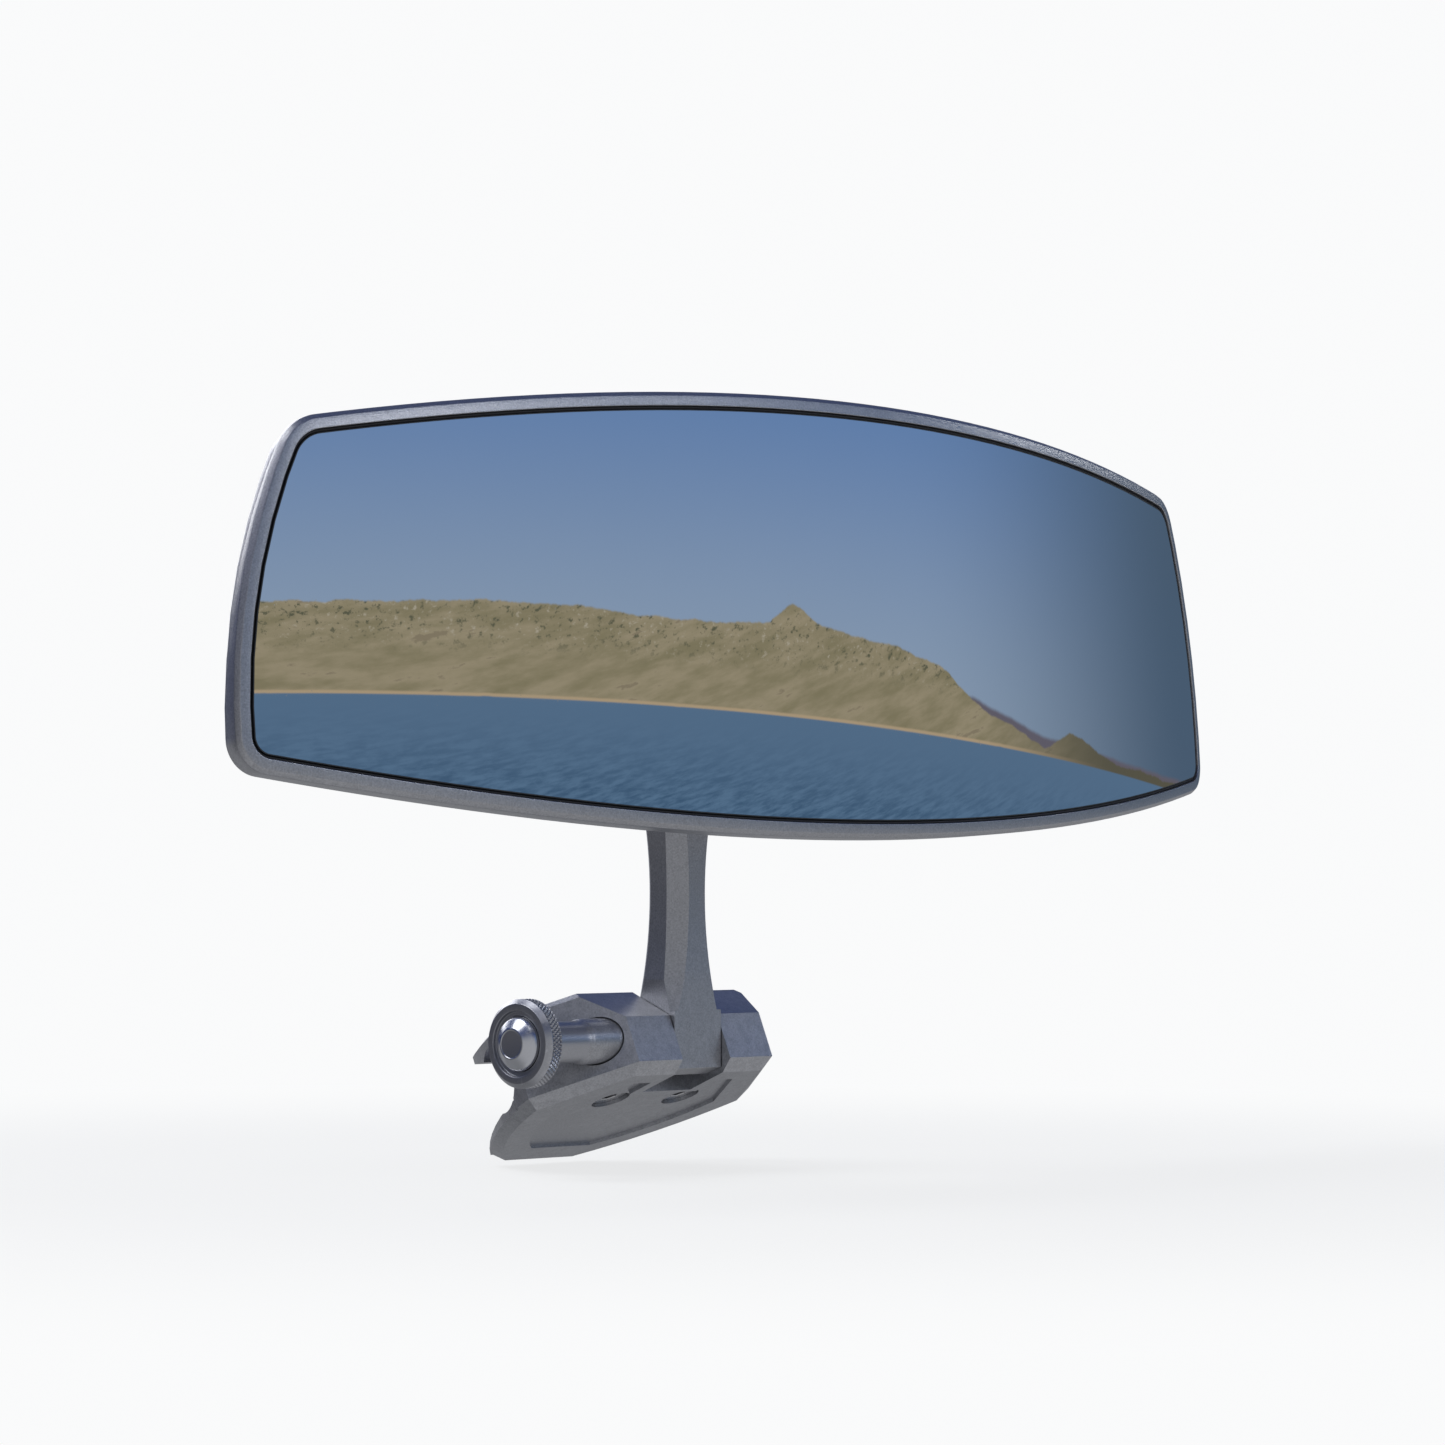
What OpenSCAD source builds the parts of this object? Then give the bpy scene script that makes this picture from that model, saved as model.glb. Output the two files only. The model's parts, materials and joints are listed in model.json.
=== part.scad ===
// Wide-angle rearview mirror on a clamp-on windshield rail bracket.
// The origin is the centre of the clamped rail. X runs along the rail, -Y faces the person
// who looks into the mirror, and Z is up.

/* [Mirror head] */
// Radius of the mirror's curve, about an upright axis behind it
mirror_curve_r = 622; // [450:1:900]
// Distance between the lower corners of the mirror
mirror_low_w = 384.6; // [330:0.2:400]
// Distance between the upper corners of the mirror
mirror_top_w = 353; // [300:1:370]
// Height of the mirror at its middle
mirror_h = 109.4; // [90:0.2:120]
// Rise of the upper edge from its corners to its middle
top_rise = 13.1; // [5:0.1:18]
// Drop of the lower edge from its corners to its middle
low_drop = 17.2; // [5:0.1:22]
// How far the mirror's sides bow outward between their corners
side_bow = 5; // [1:0.1:8]
// Radius of the mirror's lower corners
low_corner_r = 5; // [3:0.5:8]
// Radius of the mirror's upper corners
top_corner_r = 9; // [5:0.5:11]
// Thickness of the mirror
mirror_t = 2; // [1.5:0.1:3]
// Width of the frame's rim around the mirror, with the seal's gap
rim_w = 4.6; // [4:0.1:7]
// Depth of the frame behind the mirror's front face
frame_depth = 8.5; // [8:0.1:12]
// Depth of the frame's wider front edge at the middle of its height, where its back is upright
edge_depth = 5.3; // [4:0.1:6]
// How far the mirror leans back
mirror_lean = 3.7; // [0:0.1:4]

/* [Arm] */
// Height of the ball above the clamp pivot
ball_rise = 112; // [105:1:125]
// Narrowest half-width of the arm
waist_half = 7.65; // [7:0.05:8.5]
// Height of the waist above the clamp pivot
waist_rise = 40; // [36:1:46]
// Radius of the hollow curve down each side of the arm
waist_r = 151; // [130:1:200]
// Narrowest half-depth of the arm
waist_half_depth = 7.45; // [7:0.05:7.7]
// Radius of the slight hollow curve down its front and back
depth_curve_r = 900; // [600:10:1500]

/* [Ball joint] */
// Radius of the ball
ball_r = 9; // [8.5:0.1:9.5]
// Distance from the arm's middle forward to the ball's centre
ball_reach = 35.5; // [34:0.5:38]
// Radius of the stud's shank
stud_r = 4; // [3.5:0.1:4]

/* [Bracket] */
// Radius of the rail that the bracket clamps
rail_r = 8.5; // [8.5:0.1:8.7]
// Slope of the bracket's plate, the same as the windshield's
rake = 22.7; // [20:0.1:25]
// Half-width of the slot for the arm
slot_half = 9.75; // [9.75:0.01:9.8]
// Distance between the two clamp screws
clamp_screw_gap = 28.4; // [28:0.1:32]

/* [Knob] */
// Radius of the knob over its knurl
knob_r = 12.05; // [11:0.05:13]
// Radius of the knob's stem
stem_r = 5.6; // [5:0.1:6]

/* [Hidden] */
$fn = 64;

satin = [0.46, 0.48, 0.52];
steel = [0.75, 0.76, 0.78];
black = [0.05, 0.05, 0.06];
nylon = [0.90, 0.89, 0.84];
bronze = [0.72, 0.52, 0.28];
eps = 0.01;
running_gap = 0.05;

// Bracket, in its own raked frame: y runs down the plate and z away from the plate's face
pad_t = 1;
saddle_r = rail_r + pad_t;
plate_z = -13.5;
top_z = 13.3;
bevel_h = 2.75;
part_z = plate_z + bevel_h;
front_y = -40.3;
chamfer_z = 2.3;
chamfer_y = -29.8;
pivot_y = -32.1;
pivot_z = -1.55;
slot_back_y = -22.7;
screw_y = -14.5;
screw_r = 3;
head_r = 5.2;
recess_r = 5.5;
recess_floor = -7.6;
boss_r = 6.5;
boss_top = -5.2;
pocket_depth = 0.9;
tip_y = 14;

// Corners of the plate's face and of its bevel's outer edge, for the +X side
face_front = [26, -36];
face_wide = [41, -11.3];
face_back = [13.7, 30.8];
edge_front = [27.3, front_y];
edge_wide = [45, -13.4];
edge_back = [17.5, 32];
side_bulge = 3.6;
top_bevel = 1.6;
top_front = [25.4, front_y];
top_wide = [42.8, -13.7];
top_back = [16.2, 30];

// Clamp pivot in the main frame
pivot = [0, pivot_y * cos(rake) + pivot_z * sin(rake), pivot_z * cos(rake) - pivot_y * sin(rake)];
knuckle_half = slot_half - 0.25;
ball = pivot + [0, -ball_reach, ball_rise];

// Ball joint, around the ball's centre
liner_gap = 0.15;
liner_in = ball_r + liner_gap;
liner_out = 12;
cavity_r = liner_out + 0.2;
housing_front = -15;
housing_r = 18.5;
flange_r = 27;
flange_t = 3.5;
flange_screw_ring = 22.8;
cap_screw_ring = 15.4;
cap_back = 9.5;
liner_cone = 48;
cap_cone = 50;

// Head, around the middle of the mirror's front face
pad_depth = 14;
glass_centre = ball + [0, housing_front - pad_depth, 2.35];
seal_w = 0.8;
tape_t = 0.8;
ledge_w = 8;
cover_t = 3;
edge_step = 2.4;
low_corner = [mirror_low_w / 2, low_drop - mirror_h / 2];
top_corner = [mirror_top_w / 2, mirror_h / 2 - top_rise];
prism_back = 50;
prism_front = 6;
proud = 0.5;
tape_back = mirror_t + tape_t;

// Knob, along the pivot's axis
knob_front = -63.6;
disc_t = 5.4;
cap_r = 7.5;
stem_flare_x = -39.5;
stem_flare = 1.5;
collar_r = 6.25;
shoulder_x = -20;
bolt_r = 4;
bolt_end = 24;
washer_r = 7.4;
washer_t = 1;
washer_sunk = 0.8;

// ---- helpers ----

// Points from p to q along an arc that bulges by sag to the right of the way
function bulge(p, q, sag, count) =
  let (chord = norm(q - p), r = chord * chord / (8 * sag) + sag / 2,
       along = (q - p) / chord, side = [along[1], -along[0]],
       middle = (p + q) / 2 + side * (sag - r), half = asin(chord / (2 * r)))
  [for (i = [0 : count]) let (a = half * (2 * i / count - 1))
    middle + r * (side * cos(a) + along * sin(a))];

function flip(points) = [for (i = [len(points) - 1 : -1 : 0]) [-points[i][0], points[i][1]]];

// The bracket's outline seen along z, from the front, wide and back corners of its +X side
function bracket_outline(front, wide, back) =
  let (side = concat([front], bulge(wide, back, side_bulge, 8))) concat(side, flip(side));

module raked() rotate([-rake, 0, 0]) children();

// Extrudes a y-z outline along X, half the width to each side
module across(width) rotate([90, 0, 90]) linear_extrude(width, center = true) children();

module along_x(r, x0, x1) translate([x0, 0, 0]) rotate([0, 90, 0]) cylinder(r = r, h = x1 - x0);

module along_y(r, y0, y1) translate([0, y0, 0]) rotate([-90, 0, 0]) cylinder(r = r, h = y1 - y0);

module hexagon(flats, h) cylinder(r = flats / 2 / cos(30), h = h, $fn = 6);

// ---- bracket ----

module clamp_screw_places() for (side = [-1, 1])
  translate([side * clamp_screw_gap / 2, screw_y, 0]) children();

module slot_cut(z0, z1)
  translate([-slot_half, front_y - 5, z0]) cube([2 * slot_half, slot_back_y - front_y + 5, z1 - z0]);

module base_block() color(satin) raked() difference() {
  intersection() {
    hull() {
      translate([0, 0, part_z]) linear_extrude(top_z - top_bevel - part_z)
        polygon(bracket_outline(edge_front, edge_wide, edge_back));
      translate([0, 0, top_z - eps]) linear_extrude(eps)
        polygon(bracket_outline(top_front, top_wide, top_back));
    }
    across(120) polygon([
      [front_y, part_z], [-5.6, part_z], [-5.6, -3], [-saddle_r + 1, 0], [2, 6], [tip_y, 9.6],
      [tip_y, top_z - 1.6], [tip_y - 1.4, top_z], [chamfer_y, top_z], [front_y, chamfer_z]]);
  }
  along_x(saddle_r, -60, 60);
  slot_cut(part_z - 1, top_z + 1);
  translate([0, pivot_y, pivot_z]) {
    along_x(6.6, -60, shoulder_x);
    along_x(bolt_r + 0.1, -60, slot_half + 1.1);
    along_x(6, slot_half + 1, 26);
    along_x(washer_r + 0.1, -slot_half - washer_sunk, slot_half + washer_sunk);
  }
  clamp_screw_places() {
    translate([0, 0, part_z - 1]) cylinder(r = boss_r + 0.15, h = boss_top + 0.2 - part_z + 1);
    cylinder(r = screw_r + 0.02, h = 2 * 8.5, center = true);
  }
}

module clamp_plate() color(satin) raked() difference() {
  union() {
    hull() {
      translate([0, 0, plate_z]) linear_extrude(eps)
        polygon(bracket_outline(face_front, face_wide, face_back));
      translate([0, 0, part_z - eps]) linear_extrude(eps)
        polygon(bracket_outline(edge_front, edge_wide, edge_back));
    }
    intersection() {
      translate([0, 0, part_z - 1]) linear_extrude(20)
        polygon(bracket_outline(edge_front, edge_wide, edge_back));
      across(120) polygon([[-5.5, part_z - 0.5], [-5.5, -8.2], [2, -8.8], [edge_back[1], part_z - 0.5]]);
    }
    clamp_screw_places() translate([0, 0, part_z - 1]) cylinder(r = boss_r, h = boss_top - part_z + 1);
  }
  along_x(saddle_r, -60, 60);
  slot_cut(plate_z - 1, part_z + 1);
  difference() {
    translate([0, 0, plate_z - 1]) linear_extrude(1 + pocket_depth)
      polygon(bracket_outline([20, -30], [31, -11.5], [12, 21.3]));
    translate([-13.5, front_y, plate_z - 2]) cube([27, slot_back_y + 1.5 - front_y, 4]);
  }
  clamp_screw_places() {
    translate([0, 0, plate_z - 1]) cylinder(r = recess_r, h = recess_floor - plate_z + 1);
    translate([0, 0, plate_z]) cylinder(r = screw_r + 0.2, h = 20);
  }
}

module clamp_screws() color(steel) raked() clamp_screw_places() difference() {
  union() {
    translate([0, 0, recess_floor - 4]) cylinder(r = head_r, h = 4);
    translate([0, 0, recess_floor - 1]) cylinder(r = screw_r, h = 1 - recess_floor + 8);
  }
  translate([0, 0, recess_floor - 5]) hexagon(4, 3.4);
}

// A strip of rubber that lines the saddle between two angles
module rail_pad(from_angle, to_angle, half) color(black) raked() rotate([90, 0, 90])
  translate([0, 0, -half]) rotate([0, 0, from_angle])
    rotate_extrude(angle = to_angle - from_angle) translate([rail_r, 0]) square([pad_t, 2 * half]);

module rail_pad_upper() rail_pad(58, 196, 34);

module rail_pad_lower() rail_pad(238, 290, 30);

module threaded_insert() color(bronze) translate(pivot) difference() {
  along_x(6, slot_half + 1, 26);
  along_x(bolt_r + running_gap, slot_half, 25);
}

module friction_washers() color(nylon) translate(pivot) for (side = [-1, 1])
  translate([side * (slot_half + washer_sunk - washer_t / 2), 0, 0]) difference() {
    along_x(washer_r, -washer_t / 2, washer_t / 2);
    along_x(bolt_r + 0.2, -1, 1);
  }

// ---- knob ----

module knob() color(satin) translate(pivot) difference() {
  union() {
    translate([knob_front, 0, 0]) rotate([0, 90, 0]) {
      cylinder(r1 = knob_r - 1.2, r2 = knob_r, h = 2.4);
      translate([0, 0, 2.4]) cylinder(r = knob_r, h = disc_t - 2.9);
      translate([0, 0, disc_t - 0.5]) cylinder(r1 = knob_r, r2 = knob_r - 0.5, h = 0.5);
    }
    along_x(stem_r, knob_front + disc_t - 1, stem_flare_x);
    translate([stem_flare_x - stem_flare, 0, 0]) rotate([0, 90, 0])
      cylinder(r1 = stem_r, r2 = collar_r, h = stem_flare);
    along_x(collar_r, stem_flare_x, shoulder_x - 1 - running_gap);
  }
  along_x(8.8, knob_front - 1, knob_front + 0.9);
  along_x(cap_r + 0.1, knob_front, knob_front + 2.2);
  along_x(bolt_r - 1, knob_front + 2, shoulder_x);
  along_x(bolt_r, knob_front + 10, shoulder_x);
}

module knob_cap() color(satin) translate(pivot + [knob_front + 2.2, 0, 0]) rotate([0, -90, 0]) {
  cylinder(r = cap_r, h = 2.2);
  translate([0, 0, 2.2]) cylinder(r1 = cap_r, r2 = 3.9, h = 2.3);
}

module clamp_bolt() color(steel) translate(pivot) {
  along_x(bolt_r, knob_front + 10, bolt_end);
  along_x(bolt_r - 1, knob_front + 4, knob_front + 10.5);
}

module thrust_washer() color(steel) translate(pivot) difference() {
  along_x(6.2, shoulder_x - 1, shoulder_x);
  along_x(bolt_r + 0.1, shoulder_x - 2, shoulder_x + 1);
}

// ---- arm ----

// Tall strip of the stated half-width, hollowed by an arc on each side
module waisted(half, r) difference() {
  translate([-20, -14]) square([40, ball_rise + 20]);
  for (side = [-1, 1]) translate([side * (half + r), waist_rise]) circle(r = r, $fn = 128);
}

module upright(angle) rotate([0, 0, angle]) rotate([90, 0, 0])
  linear_extrude(60, center = true) children();

module arm_post() color(satin) translate(pivot) difference() {
  union() {
    intersection() {
      upright(0) waisted(waist_half, waist_r);
      upright(90) waisted(waist_half_depth, depth_curve_r);
      upright(45) waisted(waist_half - 0.1, waist_r);
      upright(-45) waisted(waist_half - 0.1, waist_r);
      translate([-knuckle_half, -7.75, 0]) cube([2 * knuckle_half, 15.5, ball_rise]);
    }
    across(2 * knuckle_half) intersection() {
      union() {
        circle(r = 9);
        polygon([[-7.75, 8], [-7.75, -8], [-2.5, -10], [2, -8.7], [6, 4]]);
      }
      translate([-7.75, -20]) square([20, 28]);
    }
    translate([0, 0, ball_rise]) along_y(12.5, -9, 9);
  }
  along_x(6, -20, 20);
  translate([0, 0, ball_rise]) along_y(stud_r + running_gap, -20, 20);
}

module pivot_bushing() color(bronze) translate(pivot) difference() {
  along_x(6, -knuckle_half, knuckle_half);
  along_x(bolt_r + running_gap, -20, 20);
}

// ---- ball stud and liner ----

module ball_stud() color(steel) translate(ball) {
  sphere(r = ball_r);
  along_y(stud_r, 0, ball_reach + 21);
  translate([0, ball_reach - 9 - 4.05, 0]) rotate([-90, 0, 0]) hexagon(13, 4);
}

module stud_washers() color(steel) translate(ball + [0, ball_reach + 9.05, 0]) {
  difference() {
    along_y(8, 0, 1.5);
    along_y(stud_r, -1, 3);
  }
  difference() {
    along_y(7, 1.5, 3);
    along_y(stud_r, 1, 4);
  }
}

module stud_nut() color(steel) translate(ball + [0, ball_reach + 12.05, 0]) difference() {
  union() {
    rotate([-90, 0, 0]) hexagon(13, 6.5);
    along_y(5.6, 6, 8);
  }
  along_y(stud_r, -1, 9);
}

// Shell between the ball and the socket
module liner_shell() difference() {
  sphere(r = liner_out);
  sphere(r = liner_in);
}

module ball_liner_front() color(nylon) translate(ball) intersection() {
  liner_shell();
  along_y(20, -20, -0.4);
}

module ball_liner_rear() color(nylon) translate(ball) difference() {
  intersection() {
    liner_shell();
    along_y(20, 0.4, 20);
  }
  rotate([-90, 0, 0]) cylinder(r1 = 0, r2 = 20 * tan(liner_cone), h = 20);
}

// ---- head ----

module leaning() translate(glass_centre) rotate([-mirror_lean, 0, 0]) children();

// Widens a point of the outline so that the walls of a prism that narrows towards the mirror's
// axis pass through it where it lies on the curved front
function spread(p) =
  [p[0] / sqrt(1 - pow(p[0] / mirror_curve_r, 2)) * (1 - prism_back / mirror_curve_r), p[1]];

// Points of one side of the outline, without its first corner
function side_points(p, q, sag, count) = [for (i = [1 : count]) bulge(p, q, sag, count)[i]];

// The mirror's outline at the back of the prism, anticlockwise, before its corners are rounded
mirror_edge = [for (p = concat(
  side_points([-low_corner[0], low_corner[1]], low_corner, low_drop, 16),
  side_points(low_corner, top_corner, side_bow, 6),
  side_points(top_corner, [-top_corner[0], top_corner[1]], top_rise, 16),
  side_points([-top_corner[0], top_corner[1]], [-low_corner[0], low_corner[1]], side_bow, 6)
)) spread(p)];

// Direction that leaves the outline between two of its points
function outward(p, q) = [q[1] - p[1], p[0] - q[0]] / norm(q - p);

// The outline grown by the stated width, its four corners rounded
function grown_edge(grow) = let (count = len(mirror_edge)) [for (i = [0 : count - 1])
  let (here = mirror_edge[i],
       a = outward(mirror_edge[(i + count - 1) % count], here),
       b = outward(here, mirror_edge[(i + 1) % count]),
       turn = acos(a * b),
       steps = turn > 12 ? 10 : 0,
       r = steps > 0 ? max(1, (here[1] > 0 ? top_corner_r : low_corner_r) + grow) : 0,
       middle = here + (grow - r) * (a + b) / (1 + a * b))
  for (k = [0 : steps]) let (angle = atan2(a[1], a[0]) + (steps > 0 ? turn * k / steps : 0))
    middle + r * [cos(angle), sin(angle)]];

// A prism of the mirror's outline whose side walls point at the mirror's axis
module mirror_prism(grow) translate([0, prism_back, 0]) rotate([90, 0, 0])
  linear_extrude(prism_back + prism_front, slices = 1, $fn = 0,
    scale = [(mirror_curve_r + prism_front) / (mirror_curve_r - prism_back), 1]) polygon(grown_edge(grow));

// An upright cylinder about the mirror's axis, its wall the stated depth behind the glass
module curve(depth) translate([0, mirror_curve_r, -90])
  cylinder(r = mirror_curve_r - depth, h = 180, $fn = 180);

// A curved sheet of the mirror's outline between two depths
module curved_sheet(grow, from_depth, to_depth) intersection() {
  mirror_prism(grow);
  difference() {
    curve(from_depth);
    curve(to_depth);
  }
}

// Places on the cover's outer face, each turned so that +Y leaves the head
module cover_screw_places() leaning() translate([0, mirror_curve_r, 0])
  for (turn = [-13.5, -4.6, 4.6, 13.5], side = [-1, 1])
    let (drop = (side > 0 ? top_rise : low_drop * 0.8) * pow(turn / 16.5, 2))
    rotate([0, 0, turn])
      translate([0, frame_depth + cover_t - mirror_curve_r, side * (mirror_h / 2 - 4 - drop)]) children();

module flange_screw_places() for (turn = [45 : 90 : 315])
  translate(ball) rotate([0, turn, 0]) translate([flange_screw_ring, 0, 0]) children();

module cap_screw_places() for (turn = [0 : 90 : 270])
  translate(ball) rotate([0, turn, 0]) translate([cap_screw_ring, 0, 0]) children();

module head_frame() color(satin) difference() {
  leaning() difference() {
    union() {
      curved_sheet(rim_w - edge_step, 0, frame_depth);
      intersection() {
        mirror_prism(rim_w);
        difference() {
          curve(-proud);
          rotate([mirror_lean, 0, 0]) curve(edge_depth);
          curve(frame_depth);
        }
      }
    }
    curved_sheet(seal_w, -2, tape_back);
    mirror_prism(-ledge_w);
  }
  cover_screw_places() along_y(1.5, -cover_t - 4, 0);
}

module mirror_glass() color([0.55, 0.65, 0.78]) leaning() curved_sheet(0, 0, mirror_t);

module mirror_seal() color(black) leaning() difference() {
  curved_sheet(seal_w, 0.3, mirror_t);
  mirror_prism(0);
}

module mirror_tape() color(black) leaning() difference() {
  curved_sheet(-0.6, mirror_t, tape_back);
  mirror_prism(-ledge_w);
}

module foam_backing() color([0.2, 0.2, 0.2]) leaning()
  curved_sheet(-ledge_w - 0.5, mirror_t, frame_depth);

module back_cover() color(satin) difference() {
  union() {
    leaning() curved_sheet(rim_w - edge_step, frame_depth, frame_depth + cover_t);
    intersection() {
      translate(ball) along_y(flange_r + 1, housing_front - 8, housing_front);
      leaning() curve(frame_depth);
    }
  }
  cover_screw_places() along_y(1.5, -cover_t - 1, 1);
  flange_screw_places() along_y(2, housing_front - 3, housing_front + 1);
}

module cover_screws() color(steel) cover_screw_places() difference() {
  union() {
    along_y(1.5, -cover_t - 3.6, 0);
    along_y(2.8, 0, 1.6);
  }
  translate([0, 0.6, 0]) rotate([-90, 0, 0]) hexagon(2, 2);
}

module socket_housing() color(satin) difference() {
  translate(ball) {
    along_y(housing_r, housing_front, 0);
    along_y(flange_r, housing_front, housing_front + flange_t);
  }
  translate(ball) sphere(r = cavity_r);
  flange_screw_places() along_y(2.2, housing_front - 1, housing_front + flange_t + 1);
  cap_screw_places() along_y(1.5, -9, 1);
}

module socket_screws() color(steel) flange_screw_places() difference() {
  union() {
    along_y(2, housing_front - 3, housing_front + flange_t);
    along_y(3.5, housing_front + flange_t, housing_front + flange_t + 2.2);
  }
  translate([0, housing_front + flange_t + 0.8, 0]) rotate([-90, 0, 0]) hexagon(2.5, 3);
}

module socket_cap() color(satin) difference() {
  translate(ball) along_y(housing_r, 0, cap_back);
  translate(ball) sphere(r = cavity_r);
  translate(ball) rotate([-90, 0, 0]) cylinder(r1 = 0, r2 = 20 * tan(cap_cone), h = 20);
  cap_screw_places() {
    along_y(1.7, -1, cap_back + 1);
    along_y(2.8, cap_back - 3, cap_back + 1);
  }
}

module cap_screws() color(steel) cap_screw_places() difference() {
  union() {
    along_y(1.5, -8, cap_back - 3);
    along_y(2.7, cap_back - 3, cap_back - 0.2);
  }
  translate([0, cap_back - 1.8, 0]) rotate([-90, 0, 0]) hexagon(2.5, 3);
}

base_block();
clamp_plate();
clamp_screws();
rail_pad_upper();
rail_pad_lower();
threaded_insert();
friction_washers();
knob();
knob_cap();
clamp_bolt();
thrust_washer();
arm_post();
pivot_bushing();
ball_stud();
stud_washers();
stud_nut();
ball_liner_front();
ball_liner_rear();
head_frame();
mirror_glass();
mirror_seal();
mirror_tape();
foam_backing();
back_cover();
cover_screws();
socket_housing();
socket_screws();
socket_cap();
cap_screws();
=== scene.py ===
"""Looks for a wide convex rearview mirror on a clamp-on windshield rail bracket."""
import json
import math

import bmesh
import bpy
from mathutils import Matrix, Vector


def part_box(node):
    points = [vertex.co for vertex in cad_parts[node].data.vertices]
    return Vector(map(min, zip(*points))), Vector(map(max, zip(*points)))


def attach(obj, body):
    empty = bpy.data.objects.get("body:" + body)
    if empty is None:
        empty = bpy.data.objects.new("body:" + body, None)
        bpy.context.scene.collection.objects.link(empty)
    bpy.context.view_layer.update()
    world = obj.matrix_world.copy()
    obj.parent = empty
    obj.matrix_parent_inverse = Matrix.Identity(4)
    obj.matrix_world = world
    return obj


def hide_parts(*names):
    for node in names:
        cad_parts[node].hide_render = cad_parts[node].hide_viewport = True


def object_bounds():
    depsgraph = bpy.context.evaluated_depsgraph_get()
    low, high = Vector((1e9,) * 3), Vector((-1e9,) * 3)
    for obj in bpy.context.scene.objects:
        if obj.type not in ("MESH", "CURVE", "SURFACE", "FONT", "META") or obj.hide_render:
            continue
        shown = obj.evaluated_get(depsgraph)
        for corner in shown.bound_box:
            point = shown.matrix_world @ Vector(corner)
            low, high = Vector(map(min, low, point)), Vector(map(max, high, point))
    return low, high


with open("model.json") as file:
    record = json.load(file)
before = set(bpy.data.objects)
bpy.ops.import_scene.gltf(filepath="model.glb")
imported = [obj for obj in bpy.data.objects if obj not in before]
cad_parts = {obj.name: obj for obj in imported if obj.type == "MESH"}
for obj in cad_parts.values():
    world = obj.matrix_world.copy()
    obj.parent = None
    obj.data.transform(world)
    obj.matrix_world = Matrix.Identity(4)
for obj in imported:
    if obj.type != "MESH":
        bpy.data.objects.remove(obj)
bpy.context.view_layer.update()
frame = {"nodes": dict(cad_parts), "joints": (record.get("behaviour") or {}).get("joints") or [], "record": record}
nodes = frame["nodes"]
joints = {joint["name"]: joint for joint in frame["joints"]}
body_of_node = {node: body for body, members in frame["record"]["behaviour"]["bodies"].items()
                for node in members}
PIVOT = Vector(joints["arm_fold"]["pos_m"])
BALL = Vector(joints["head_tilt"]["pos_m"])
MM = 0.001

# ---- camera: a long lens from the left, a little below the mirror ----

VIEW_AZIMUTH = math.radians(-48.0)
VIEW_ELEVATION = math.radians(-1.79)
CAMERA_PLACE = Vector((-1.0105, -0.9570, 0.0558))
LENS_MM = 122.87
SENSOR_MM = 36.0

camera_data = bpy.data.cameras.new("camera")
camera_data.sensor_width = SENSOR_MM
camera_data.lens = LENS_MM
camera_data.clip_start, camera_data.clip_end = 0.05, 60.0
camera = bpy.data.objects.new("camera", camera_data)
bpy.context.scene.collection.objects.link(camera)
bpy.context.scene.camera = camera
back = Vector((math.sin(VIEW_AZIMUTH) * math.cos(VIEW_ELEVATION),
               -math.cos(VIEW_AZIMUTH) * math.cos(VIEW_ELEVATION), math.sin(VIEW_ELEVATION)))
right = Vector((math.cos(VIEW_AZIMUTH), math.sin(VIEW_AZIMUTH), 0.0))
camera.matrix_world = Matrix.Translation(CAMERA_PLACE) @ Matrix(
    (right, back.cross(right), back)).transposed().to_4x4()


# ---- node helpers ----

class Nodes:
    """Small wrapper that adds and links shader nodes."""

    def __init__(self, tree, keep=False):
        self.tree = tree
        if not keep:
            tree.nodes.clear()

    def add(self, kind, inputs=None, **settings):
        node = self.tree.nodes.new(kind)
        for key, value in settings.items():
            setattr(node, key, value)
        for key, value in (inputs or {}).items():
            if isinstance(value, bpy.types.NodeSocket):
                self.tree.links.new(value, node.inputs[key])
            else:
                node.inputs[key].default_value = value
        return node

    def math(self, operation, *values, clamp=False):
        return self.add("ShaderNodeMath", dict(enumerate(values)), operation=operation,
                        use_clamp=clamp).outputs[0]

    def mix(self, factor, low, high):
        node = self.add("ShaderNodeMix", data_type="RGBA")
        for key, value in ((0, factor), (6, low), (7, high)):
            if isinstance(value, bpy.types.NodeSocket):
                self.tree.links.new(value, node.inputs[key])
            else:
                node.inputs[key].default_value = value
        return node.outputs[2]

    def step(self, value, low, high):
        """Smooth step from 0 at low to 1 at high. It runs the other way when low is the larger."""
        return self.add("ShaderNodeMapRange", {0: value, 1: low, 2: high, 3: 0.0, 4: 1.0},
                        interpolation_type="SMOOTHSTEP").outputs[0]

    def swing(self, value, width):
        """A value between 0 and 1 made to swing evenly about zero."""
        return self.math("MULTIPLY", self.math("SUBTRACT", value, 0.5), width)

    def noise(self, vector, scale, detail=3.0, roughness=0.5, stretch=None):
        if stretch:
            vector = self.add("ShaderNodeMapping", {"Vector": vector, "Scale": stretch}).outputs[0]
        return self.add("ShaderNodeTexNoise", {"Vector": vector, "Scale": scale, "Detail": detail,
                                               "Roughness": roughness}).outputs[0]


def rgb(red, green, blue):
    return (red, green, blue, 1.0)


# ---- materials ----

GRAIN_DEPTH = 0.00012
BRUSH_DEPTH = 0.00003
# Light grey painted on sharp edges: partly worn metal, partly a painted highlight along the edges
WORN_AND_HIGHLIT_EDGE = rgb(0.75, 0.76, 0.78)


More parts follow.
